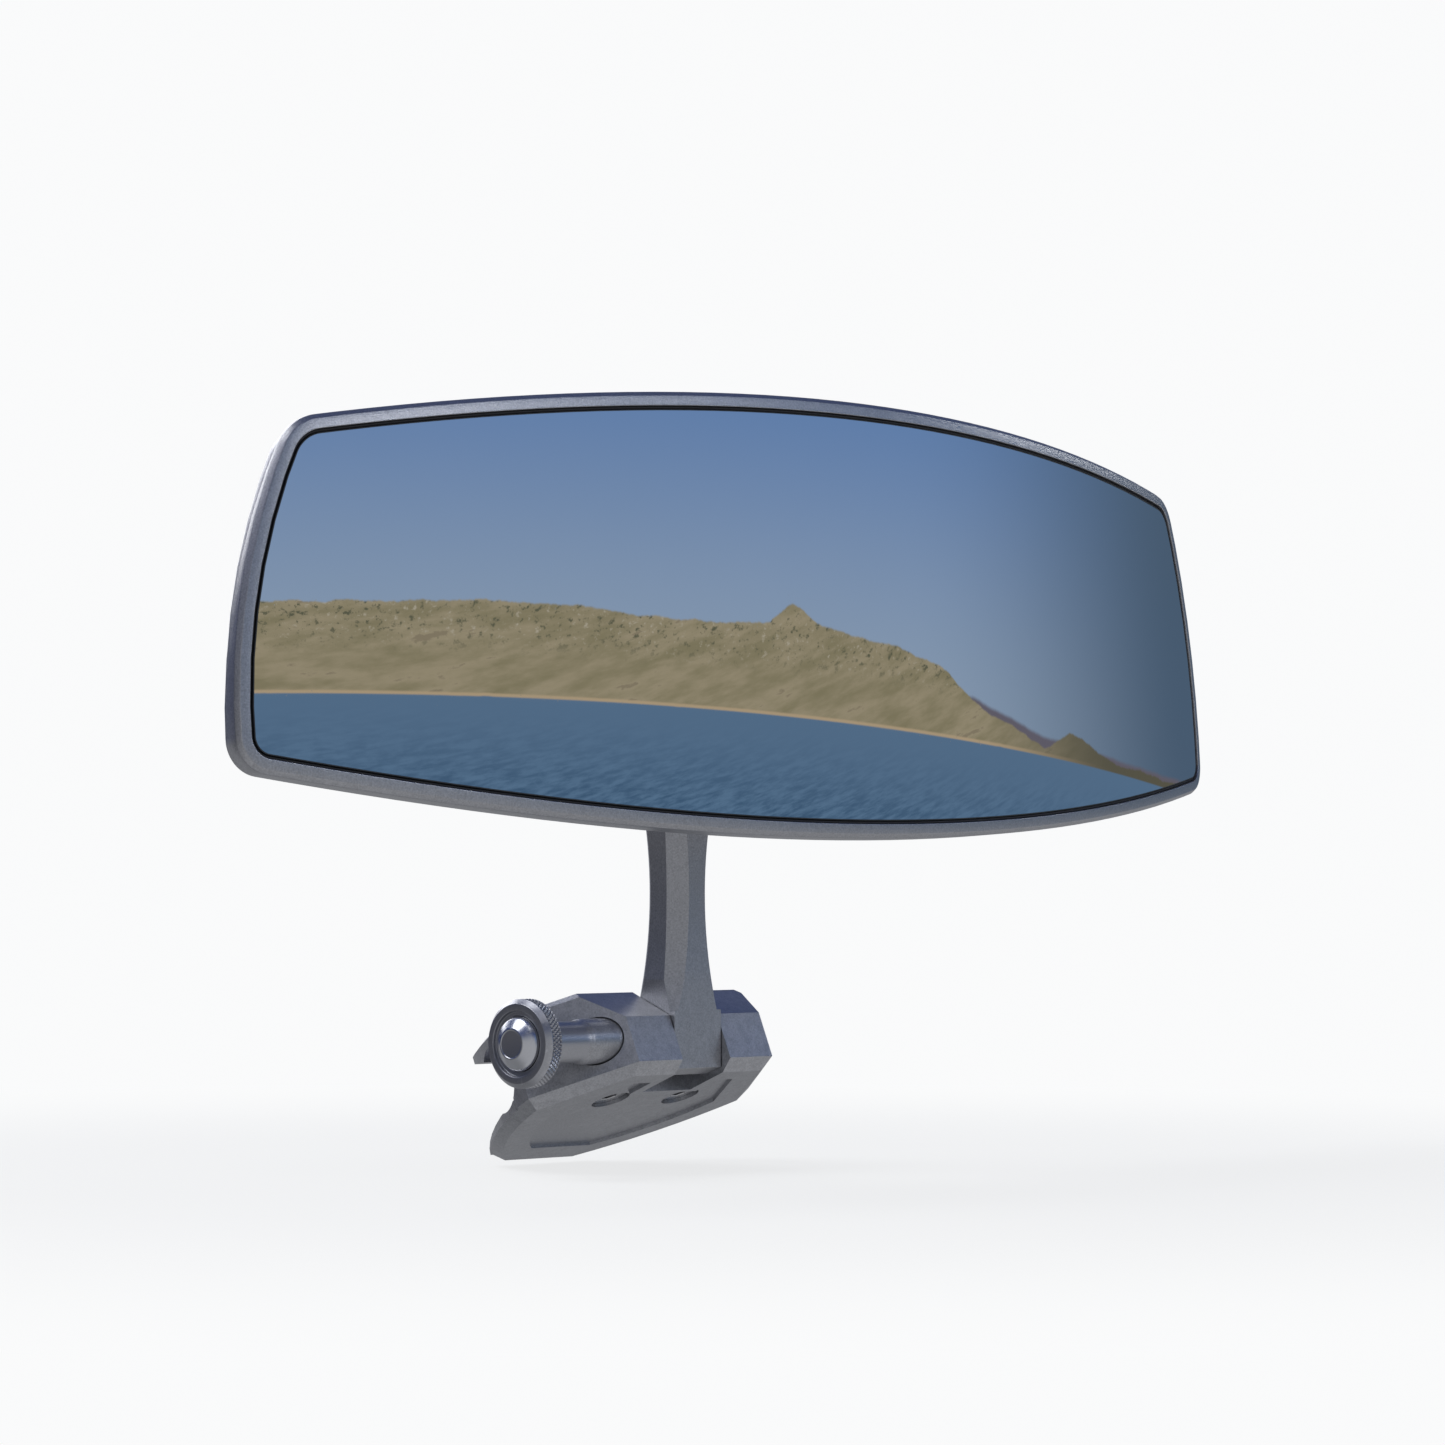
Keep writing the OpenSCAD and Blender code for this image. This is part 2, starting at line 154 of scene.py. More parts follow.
def surface(name, colour, metallic, roughness, grain=0.0, grain_scale=2600.0, tone=0.08,
            rough_swing=0.05, edge_wear_and_highlight=0.0, brushed=False):
    """A procedural material: fine blasted or moulded grain, drifting tone, and edges painted lighter, partly as
    wear and partly as a painted highlight.
    """
    material = bpy.data.materials.new(name)
    material.use_nodes = True
    kit = Nodes(material.node_tree)
    place = kit.add("ShaderNodeTexCoord").outputs["Object"]
    fine = kit.noise(place, grain_scale, 2.0, 0.6)
    drift = kit.noise(place, 28.0, 4.0, 0.55)
    cloud = kit.noise(place, 420.0, 3.0, 0.6)
    shade = kit.math("ADD", kit.swing(fine, tone * 2.6), kit.swing(drift, tone * 0.4))
    shade = kit.math("ADD", kit.math("ADD", shade, 1.0), kit.swing(cloud, tone * 0.3))
    base = kit.add("ShaderNodeVectorMath", {0: colour, "Scale": shade}, operation="SCALE").outputs[0]
    # Sharp edges, found by pointiness in patches of the cloud noise, are painted lighter: partly wear, partly a
    # painted highlight
    if edge_wear_and_highlight:
        point = kit.add("ShaderNodeNewGeometry").outputs["Pointiness"]
        edge = kit.math("MULTIPLY", kit.step(point, 0.505, 0.56),
                        kit.step(cloud, 0.35, 0.65))
        base = kit.mix(kit.math("MULTIPLY", edge, edge_wear_and_highlight, clamp=True), base, WORN_AND_HIGHLIT_EDGE)
    rough = kit.math("ADD", kit.swing(cloud, rough_swing * 2), roughness, clamp=True)
    normal = None
    if brushed:
        lines = kit.noise(place, 900.0, 2.0, 0.6)
        normal = kit.add("ShaderNodeBump", {"Height": lines, "Strength": 0.25,
                                            "Distance": BRUSH_DEPTH}).outputs[0]
    if grain:
        inputs = {"Height": fine, "Strength": grain, "Distance": GRAIN_DEPTH}
        if normal:
            inputs["Normal"] = normal
        normal = kit.add("ShaderNodeBump", inputs).outputs[0]
    inputs = {"Base Color": base, "Metallic": metallic, "Roughness": rough}
    if normal:
        inputs["Normal"] = normal
    shader = kit.add("ShaderNodeBsdfPrincipled", inputs)
    kit.add("ShaderNodeOutputMaterial", {"Surface": shader.outputs[0]})
    return material


# The edge amounts below lighten sharp edges, partly as wear and partly as a painted highlight
SATIN = surface("satin_metal", (0.40, 0.405, 0.425), 0.86, 0.35, grain=0.40, grain_scale=2100.0,
                tone=0.34, rough_swing=0.03, edge_wear_and_highlight=0.15)
KNURLED = surface("knob_metal", (0.40, 0.405, 0.43), 0.90, 0.32, grain=0.18, tone=0.14, edge_wear_and_highlight=0.3)
POLISHED = surface("polished_metal", (0.58, 0.59, 0.62), 1.0, 0.25, tone=0.05, rough_swing=0.03)
STEEL = surface("screw_steel", (0.50, 0.50, 0.51), 1.0, 0.28, tone=0.08, edge_wear_and_highlight=0.4, brushed=True)
NYLON = surface("nylon", (0.80, 0.78, 0.72), 0.0, 0.42, grain=0.08, tone=0.05)
BRONZE = surface("bronze", (0.55, 0.38, 0.18), 1.0, 0.34, tone=0.12, edge_wear_and_highlight=0.3)
RUBBER = surface("rubber", (0.022, 0.022, 0.024), 0.0, 0.62, grain=0.25, tone=0.3)
GROUND = surface("ground_edge", (0.03, 0.035, 0.04), 0.0, 0.5, tone=0.2)
FOAM = surface("foam", (0.10, 0.10, 0.105), 0.0, 0.85, grain=0.6, grain_scale=1800.0, tone=0.5)


def mirror_material():
    """A front-silvered mirror with a faint cool tint and very slight unevenness in its gloss."""
    material = bpy.data.materials.new("mirror_face")
    material.use_nodes = True
    kit = Nodes(material.node_tree)
    place = kit.add("ShaderNodeTexCoord").outputs["Object"]
    film = kit.noise(place, 14.0, 4.0, 0.6)
    specks = kit.step(kit.noise(place, 1500.0, 1.0, 0.5), 0.74, 0.80)
    tint = kit.mix(film, rgb(0.80, 0.83, 0.85), rgb(0.84, 0.86, 0.88))
    gloss = kit.math("ADD", kit.math("MULTIPLY", film, 0.012), kit.math("MULTIPLY", specks, 0.02))
    shader = kit.add("ShaderNodeBsdfPrincipled", {"Base Color": tint, "Metallic": 1.0,
                                                  "Roughness": gloss})
    kit.add("ShaderNodeOutputMaterial", {"Surface": shader.outputs[0]})
    return material


MIRROR = mirror_material()


# ---- mesh helpers ----

SAME_POINT = 1e-7
CAD_SAME_POINT = 2e-6
CAD_FLAT = math.radians(0.5)


def add_piece(name, verts, faces, body, material, replaces=(), slot=None, smooth=35.0):
    """Makes a mesh piece that rides a body and stands for the named CAD nodes."""
    mesh = bpy.data.meshes.new(name)
    mesh.from_pydata([tuple(v) for v in verts], [], faces)
    mesh.validate()
    work = bmesh.new()
    work.from_mesh(mesh)
    bmesh.ops.remove_doubles(work, verts=work.verts, dist=SAME_POINT)
    bmesh.ops.recalc_face_normals(work, faces=work.faces)
    work.to_mesh(mesh)
    work.free()
    mesh.materials.append(material)
    piece = bpy.data.objects.new(name, mesh)
    bpy.context.scene.collection.objects.link(piece)
    for polygon in mesh.polygons:
        polygon.use_smooth = True
    mesh.set_sharp_from_angle(angle=math.radians(smooth))
    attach(piece, body)
    if replaces:
        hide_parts(*replaces)
    return piece


def lathe(name, profile, centre, axis, body, material, steps=96, radius_of=None, **extra):
    """Turns (along, radius) points round an axis through centre. radius_of may vary the radius."""
    axis = Vector(axis).normalized()
    side = axis.orthogonal().normalized()
    other = axis.cross(side)
    verts, faces = [], []
    for along, radius in profile:
        for k in range(steps):
            angle = 2 * math.pi * k / steps
            r = radius_of(along, radius, angle) if radius_of else radius
            verts.append(centre + axis * along + (side * math.cos(angle) + other * math.sin(angle)) * r)
    for i in range(len(profile) - 1):
        for k in range(steps):
            n = (k + 1) % steps
            faces.append((i * steps + k, i * steps + n, (i + 1) * steps + n, (i + 1) * steps + k))
    if profile[0][1] > 1e-9:
        faces.append(tuple(range(steps)))
    last = (len(profile) - 1) * steps
    if profile[-1][1] > 1e-9:
        faces.append(tuple(last + k for k in reversed(range(steps))))
    return add_piece(name, verts, faces, body, material, **extra)


def rounded(profile, radii, steps=4):
    """Rounds the corners of a (a, b) polyline by the given radii."""
    out = []
    for i, point in enumerate(profile):
        r = radii[i]
        if r <= 0 or i in (0, len(profile) - 1):
            out.append(point)
            continue
        here, before, after = (Vector(profile[j]) for j in (i, i - 1, i + 1))
        way_in, way_out = (before - here), (after - here)
        cut = min(r, way_in.length * 0.49, way_out.length * 0.49)
        start, end = here + way_in.normalized() * cut, here + way_out.normalized() * cut
        for k in range(steps + 1):
            t = k / steps
            out.append(tuple(start * (1 - t) ** 2 + here * 2 * t * (1 - t) + end * t * t))
    return out


BEVEL_ANGLE, BEVEL_SEGMENTS, DRESS_SMOOTH = 24.0, 3, 20.0


def dress(node, material, width):
    """Makes a piece that stands for a CAD node, with clean flat faces and rounded edges."""
    work = bmesh.new()
    work.from_mesh(nodes[node].data)
    bmesh.ops.remove_doubles(work, verts=work.verts, dist=CAD_SAME_POINT)
    bmesh.ops.dissolve_limit(work, angle_limit=CAD_FLAT, verts=work.verts, edges=work.edges)
    mesh = bpy.data.meshes.new(node + "_finish")
    work.to_mesh(mesh)
    work.free()
    mesh.materials.clear()
    mesh.materials.append(material)
    piece = bpy.data.objects.new(node + "_finish", mesh)
    bpy.context.scene.collection.objects.link(piece)
    for polygon in mesh.polygons:
        polygon.use_smooth = True
    mesh.set_sharp_from_angle(angle=math.radians(DRESS_SMOOTH))
    edge = piece.modifiers.new("edge", "BEVEL")
    edge.width = width
    edge.segments = BEVEL_SEGMENTS
    edge.limit_method = "ANGLE"
    edge.angle_limit = math.radians(BEVEL_ANGLE)
    edge.use_clamp_overlap = True
    edge.harden_normals = True
    edge.miter_outer = "MITER_ARC"
    flat = piece.modifiers.new("flat", "WEIGHTED_NORMAL")
    flat.weight = 100
    flat.keep_sharp = True
    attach(piece, body_of_node[node])
    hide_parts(node)


# ---- mirror head: its pieces are bent about an upright axis that leans with the glass ----
# Sizes in millimetres. Depths are counted from the face of the glass to the back.

CURVE_R = 622.0
LOW_W, TOP_W, HEIGHT = 384.6, 353.0, 109.4
TOP_RISE, LOW_DROP, SIDE_BOW = 13.1, 17.2, 5.0
LOW_CORNER_R, TOP_CORNER_R = 5.0, 9.0
# Widths outside the glass (rim, seal gap) and inside it (ledge), and the back cover's step-in
RIM, SEAL, LEDGE, STEP = 4.6, 0.8, 8.0, 2.4
# Depths of the frame's back, of the rim's back edge at mid height and of the tape's back. The rim
# stands PROUD of the glass.
FRAME_DEPTH, EDGE_DEPTH, COVER_T, GLASS_T, TAPE_BACK, PROUD = 8.5, 5.3, 3.0, 2.0, 2.8, 0.5
LEAN = math.radians(3.7)
LEAN_MATRIX = Matrix.Rotation(-LEAN, 3, "X")
# The outline is drawn on a plane this far behind the front of the curve
PRISM_BACK = 50.0
HOUSING_FRONT = -15.0
PAD_DEPTH = 14.0
GLASS_RISE = 2.35
GLASS_CENTRE = BALL + Vector((0.0, HOUSING_FRONT - PAD_DEPTH, GLASS_RISE)) * MM
LONG_STEPS, SIDE_STEPS, CORNER_STEPS = 36, 7, 14
CORNER_TURN = math.radians(12)


def arc(start, end, sag, count):
    """Points after start, up to end, on an arc that bulges by sag to the right of the way."""
    start, end = Vector(start), Vector(end)
    chord = (end - start).length
    radius = chord * chord / (8 * sag) + sag / 2
    along = (end - start) / chord
    side = Vector((along.y, -along.x))
    middle = (start + end) / 2 + side * (sag - radius)
    half = math.asin(chord / (2 * radius))
    return [middle + radius * (side * math.cos(a) + along * math.sin(a))
            for a in (half * (2 * i / count - 1) for i in range(1, count + 1))]


def mirror_edge():
    """The mirror's outline on the plane behind it, anticlockwise, its corners not yet rounded."""
    low = Vector((LOW_W / 2, LOW_DROP - HEIGHT / 2))
    top = Vector((TOP_W / 2, HEIGHT / 2 - TOP_RISE))
    low_left, top_left = Vector((-low.x, low.y)), Vector((-top.x, top.y))
    points = (arc(low_left, low, LOW_DROP, LONG_STEPS) + arc(low, top, SIDE_BOW, SIDE_STEPS)
              + arc(top, top_left, TOP_RISE, LONG_STEPS) + arc(top_left, low_left, SIDE_BOW, SIDE_STEPS))
    return [Vector((p.x / math.sqrt(1 - (p.x / CURVE_R) ** 2) * (1 - PRISM_BACK / CURVE_R), p.y))
            for p in points]


EDGE_POINTS = mirror_edge()


def grown_edge(grow):
    """The outline grown by the stated width. Every growth has the same number of points."""
    total = len(EDGE_POINTS)
    out = []
    for i, here in enumerate(EDGE_POINTS):
        way_in = (here - EDGE_POINTS[i - 1]).normalized()
        way_out = (EDGE_POINTS[(i + 1) % total] - here).normalized()
        before, after = Vector((way_in.y, -way_in.x)), Vector((way_out.y, -way_out.x))
        turn = math.acos(max(-1.0, min(1.0, before.dot(after))))
        corner = turn > CORNER_TURN
        radius = max(0.6, (TOP_CORNER_R if here.y > 0 else LOW_CORNER_R) + grow) if corner else 0.0
        middle = here + (grow - radius) * (before + after) / (1 + before.dot(after))
        steps = CORNER_STEPS if corner else 0
        for k in range(steps + 1):
            angle = turn * (k / steps if steps else 0.5)
            cos, sin = math.cos(angle), math.sin(angle)
            out.append(middle + radius * Vector((before.x * cos - before.y * sin,
                                                 before.x * sin + before.y * cos)))
    return out


def head_point(x, z, depth):
    """A point of the head, from its place on the outline's plane and its depth behind the glass."""
    turn = math.atan2(x, CURVE_R - PRISM_BACK)
    radius = CURVE_R - depth
    local = Vector((radius * math.sin(turn), CURVE_R - radius * math.cos(turn), z))
    return GLASS_CENTRE + (LEAN_MATRIX @ local) * MM


def head_ring(name, profile, material, **extra):
    """Sweeps (grow, depth) points round the mirror's outline. depth may be a function of z."""
    faces = []
    count = len(profile)
    edges = [grown_edge(grow) for grow, _ in profile]
    total = len(edges[0])
    verts = [head_point(edge[i].x, edge[i].y, depth(edge[i].y) if callable(depth) else depth)
             for i in range(total) for edge, (_, depth) in zip(edges, profile)]
    for i in range(total):
        n = (i + 1) % total
        for k in range(count):
            m = (k + 1) % count
            faces.append((i * count + k, n * count + k, n * count + m, i * count + m))
    return add_piece(name, verts, faces, "head", material, **extra)


STRIP = 2.2


def head_sheet(name, grow, front, rear, bevel, material, rim_material=None, **extra):
    """A curved plate between two depths, with rounded edges. Its faces are cut in upright strips."""
    work = bmesh.new()
    rim = grown_edge(grow - bevel)
    work.faces.new([work.verts.new((p.x, 0.0, p.y)) for p in rim])
    widest = max(p.x for p in rim)
    x = -widest + STRIP / 2
    while x < widest:
        geometry = list(work.verts) + list(work.edges) + list(work.faces)
        bmesh.ops.bisect_plane(work, geom=geometry, plane_co=(x, 0, 0), plane_no=(1, 0, 0), dist=0.12)
        x += STRIP
    work.verts.ensure_lookup_table()
    verts, faces = [], []
    for depth in (front, rear):
        base = len(verts)
        verts += [head_point(v.co.x, v.co.z, depth) for v in work.verts]
        order = 1 if depth == front else -1
        faces += [tuple(base + v.index for v in f.verts)[::order] for f in work.faces]
    work.free()
    profile = rounded([(grow - bevel, front), (grow, front), (grow, rear), (grow - bevel, rear)],
                      (0, bevel, bevel, 0))
    base, count = len(verts), len(profile)
    edges = [grown_edge(out) for out, _ in profile]
    total = len(rim)
    verts += [head_point(edge[i].x, edge[i].y, depth)
              for i in range(total) for edge, (_, depth) in zip(edges, profile)]
    for i in range(total):
        n = (i + 1) % total
        for k in range(count - 1):
            faces.append((base + i * count + k, base + n * count + k,
                          base + n * count + k + 1, base + i * count + k + 1))
    piece = add_piece(name, verts, faces, "head", material, **extra)
    if rim_material:
        piece.data.materials.append(rim_material)
        for polygon in list(piece.data.polygons)[-total * (count - 1):]:
            polygon.material_index = 1
    return piece


def edge_back(z):
    """Depth of the rim's back edge, which stays upright while the glass leans."""
    return EDGE_DEPTH - z * math.tan(LEAN)


INNER_LIP = 0.22
CHAMFER = 1.1
CHAMFER_DROP = 1.3
FACE_SLANT = 0.30
EDGE_ROUND = 0.35
frame_profile = [(SEAL, TAPE_BACK)]
frame_profile += rounded([(SEAL, TAPE_BACK), (SEAL, -PROUD), (RIM - CHAMFER, FACE_SLANT - PROUD),
                          (RIM, FACE_SLANT - PROUD + CHAMFER_DROP), (RIM, 3.0)],
                         (0, INNER_LIP, 0.15, 0.2, 0))[1:-1]
frame_profile += [(RIM, lambda z: edge_back(z) - EDGE_ROUND),
                  (RIM - EDGE_ROUND * 0.3, lambda z: edge_back(z) - EDGE_ROUND * 0.3),
                  (RIM - EDGE_ROUND, edge_back), (RIM - STEP, edge_back),
                  (RIM - STEP, FRAME_DEPTH), (-LEDGE, FRAME_DEPTH), (-LEDGE, TAPE_BACK)]
head_ring("head_frame_shell", frame_profile, SATIN, replaces=("head_frame",), slot="satin_metal")
head_sheet("mirror_plate", -0.15, 0.0, GLASS_T, 0.3, MIRROR, rim_material=GROUND,
           replaces=("mirror_glass",), slot="mirror_face", smooth=20.0)
head_ring("mirror_gasket", rounded([(-0.1, 1.6), (-0.1, 0.75), (0.35, 0.45), (SEAL, 0.7),
                                    (SEAL, 1.6)], (0, 0.2, 0.3, 0.2, 0)), RUBBER,
          replaces=("mirror_seal",), slot="seal_rubber")
head_sheet("back_plate", RIM - STEP, FRAME_DEPTH, FRAME_DEPTH + COVER_T, 1.2, SATIN,
           replaces=("back_cover",), slot="satin_metal")
PAD_R, PAD_T = 28.0, 4.5
lathe("back_plate_pad", [(a * MM, r * MM) for a, r in rounded(
    [(HOUSING_FRONT - PAD_T, PAD_R), (HOUSING_FRONT, PAD_R), (HOUSING_FRONT, PAD_R - 2)],
    (0, 0.8, 0))], BALL, (0, 1, 0), "head", SATIN, slot="satin_metal")

# ---- knob: bevelled front, knurled rear half, domed cap ----

KNOB_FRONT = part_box("knob")[0].x
KNOB_CENTRE = Vector((KNOB_FRONT, PIVOT.y, PIVOT.z))
KNOB_R = 12.05
DISC_T = 5.4
# The bevel at the front of the rim, the rim's rings between it and the rear edge, the knurled part
BEVEL_T, RING_T, RINGS = 1.4, 0.16, 22
KNURL_START, KNURL_END = 1.65, DISC_T - 0.35
KNURLS = 66
KNURL_DEPTH = 0.5
KNURL_LEAD = 3.72
# The stem widens to a collar that ends in the block's counterbore
FLARE, STEM_R, COLLAR_R, COLLAR_END, BORE_R = 22.6, 5.6, 6.25, 42.55, 4.1


def knurl(along, radius, angle):
    """Crossed helical grooves on the rear half of the rim."""
    rear = along / MM
    if not KNURL_START < rear < KNURL_END or radius < (KNOB_R - 0.3) * MM:
        return radius
    first = abs(math.sin((angle * KNURLS + rear * KNURL_LEAD) / 2))
    second = abs(math.sin((angle * KNURLS - rear * KNURL_LEAD) / 2))
    return radius - KNURL_DEPTH * MM * (1 - min(first, second))


knob_profile = rounded([(2.2, 0.001), (2.2, 7.6), (0.9, 7.6), (0.9, 8.7), (0.0, 9.0), (0.0, 10.75),
                        (0.35, 11.05), (BEVEL_T, KNOB_R)], (0, 0, 0.2, 0.15, 0.15, 0.12, 0.3, 0))
knob_profile += [(BEVEL_T + RING_T * k, KNOB_R) for k in range(1, RINGS + 1)]
knob_profile += rounded([(KNURL_END, KNOB_R), (DISC_T, KNOB_R - 0.5), (DISC_T, 8.0),
                         (DISC_T + 0.9, 6.2), (DISC_T + 2.2, STEM_R), (FLARE, STEM_R),
                         (FLARE + 1.5, COLLAR_R), (COLLAR_END, COLLAR_R)],
                        (0, 0.3, 1.0, 1.2, 1.4, 1.0, 0.5, 0))
knob_profile += [(COLLAR_END, BORE_R)]
turned = lathe("knob_turned", [(a * MM, r * MM) for a, r in knob_profile], KNOB_CENTRE, (1, 0, 0),
               "knob", KNURLED, steps=KNURLS * 6, radius_of=knurl, replaces=("knob",),
               slot="satin_metal")
turned.data.materials.append(SATIN)
for polygon in turned.data.polygons:
    polygon.material_index = int(polygon.center.x > KNOB_FRONT + FLARE * MM)
cap_profile = rounded([(2.15, 7.45), (0.4, 7.45), (-0.6, 6.9), (-2.2, 4.3), (-2.3, 3.9),
                       (-2.15, 3.7), (-2.15, 0.001)], (0, 0.3, 0.8, 0.9, 0.2, 0.1, 0))
lathe("knob_dome", [(a * MM, r * MM) for a, r in cap_profile], KNOB_CENTRE, (1, 0, 0), "knob",
      POLISHED, steps=128, replaces=("knob_cap",), slot="satin_metal")

# ---- CAD nodes that keep their shape, each with its material and the width of its bevels ----

for node, material, width in (
        ("base_block", SATIN, 0.45), ("clamp_plate", SATIN, 0.40), ("arm_post", SATIN, 0.35),
        ("socket_housing", SATIN, 0.5), ("socket_cap", SATIN, 0.5),
        ("clamp_screws", STEEL, 0.25), ("cover_screws", STEEL, 0.2), ("socket_screws", STEEL, 0.25),
        ("cap_screws", STEEL, 0.2), ("stud_nut", STEEL, 0.4), ("stud_washers", STEEL, 0.2),
        ("clamp_bolt", STEEL, 0.3), ("thrust_washer", STEEL, 0.15), ("ball_stud", POLISHED, 0.25),
        ("ball_liner_front", NYLON, 0.15), ("ball_liner_rear", NYLON, 0.15),
        ("friction_washers", NYLON, 0.15), ("threaded_insert", BRONZE, 0.2),
        ("pivot_bushing", BRONZE, 0.2), ("rail_pad_upper", RUBBER, 0.25),
        ("rail_pad_lower", RUBBER, 0.25), ("mirror_tape", FOAM, 0.0), ("foam_backing", FOAM, 0.0)):
    if width:
        dress(node, material, width * MM)
    else:
        nodes[node].data.materials.clear()
        nodes[node].data.materials.append(material)

# ---- floor, lights and surroundings ----

FLOOR_GAP = 0.0015
FLOOR_HALF = 12.0
FLOOR_TONE = (0.90, 0.91, 0.92)
PAPER = rgb(0.955, 0.96, 0.965)
# The floor's own paint shows by this share near the part and is gone FADE_END metres away
PAINT_SHARE = 0.22
FADE_START, FADE_END = 0.14, 0.55

low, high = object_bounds()
floor_mesh = bpy.data.meshes.new("floor")
floor_mesh.from_pydata([(-FLOOR_HALF, -FLOOR_HALF, 0), (FLOOR_HALF, -FLOOR_HALF, 0),
                        (FLOOR_HALF, FLOOR_HALF, 0), (-FLOOR_HALF, FLOOR_HALF, 0)], [], [(0, 1, 2, 3)])
floor = bpy.data.objects.new("floor", floor_mesh)
floor.location.z = low.z - FLOOR_GAP
bpy.context.scene.collection.objects.link(floor)


def floor_material():
    """Pale paint that fades into the paper behind it, so the floor has no far edge."""
    material = surface("floor_paint", FLOOR_TONE, 0.0, 0.8, tone=0.01)
    tree = material.node_tree
    output = next(n for n in tree.nodes if n.type == "OUTPUT_MATERIAL")
    painted = output.inputs["Surface"].links[0].from_socket
    kit = Nodes(tree, keep=True)
    place = kit.add("ShaderNodeTexCoord").outputs["Object"]
    length = kit.add("ShaderNodeVectorMath", {0: place}, operation="LENGTH").outputs["Value"]
    fade = kit.add("ShaderNodeMapRange", {0: length, 1: FADE_START, 2: FADE_END, 3: 1 - PAINT_SHARE},
                   interpolation_type="SMOOTHSTEP").outputs[0]
    glow = kit.add("ShaderNodeEmission", {"Color": PAPER}).outputs[0]
    mixed = kit.add("ShaderNodeMixShader", {0: fade, 1: painted, 2: glow}).outputs[0]
    tree.links.new(mixed, output.inputs["Surface"])
    return material


floor.data.materials.append(floor_material())
floor.visible_diffuse = False
floor.visible_glossy = False


def area_light(name, azimuth, elevation, distance, size, power):
    """A soft disc light that points at the middle of the part. Azimuth 0 is in front of it."""
    data = bpy.data.lights.new(name, "AREA")
    data.shape = "DISK"
    data.size = size
    data.energy = power
    turn, rise = math.radians(azimuth), math.radians(elevation)
    way = Vector((math.sin(turn) * math.cos(rise), -math.cos(turn) * math.cos(rise), math.sin(rise)))
    light = bpy.data.objects.new(name, data)
    light.location = (low + high) / 2 + way * distance
    light.rotation_euler = (-way).to_track_quat("-Z", "Y").to_euler()
    bpy.context.scene.collection.objects.link(light)


# The lights in front stand higher than anything the mirror shows to the camera
area_light("key", -126, 51, 3.0, 1.8, 32.0)
area_light("front_left", 12, 21, 2.3, 0.40, 3.4)
area_light("front_middle", 36, 21, 2.3, 0.26, 1.0)
area_light("front_right", 72, 17, 2.3, 0.26, 1.2)
area_light("behind", 166, 26, 2.2, 1.3, 12.0)

# The surroundings as they are seen in gloss: sky, dry hills and rippled water round a water line
# that slopes by TIP_X along X and TIP_Y along Y. The camera sees plain pale paper instead.
TIP_X, TIP_Y, LEVEL_SHIFT = 0.0035, 0.0929, -0.0573
# Heights of the hills over the water, in thousandths of their distance, by azimuth in degrees
RIDGE = ((0, 17.5), (12, 19.0), (25, 19.5), (38, 17.8), (43, 19.0), (45, 23.5), (47, 19.5), (55, 16.5),
         (58.5, 14.0), (61, 8.0), (68.5, 1.6), (71.6, 6.0), (77, 1.8), (95, 1.2))
FAR_RIDGE = ((0, 0), (52, 8.0), (61, 9.0), (68, 4.0), (80, 2.4), (95, 2.6))
AZIMUTH_SPAN, HEIGHT_SPAN = 100, 25
SOFT_COLOUR = rgb(0.86, 0.90, 1.0)
SOFT_LIGHT, SEEN_LIGHT = 0.36, 1.25


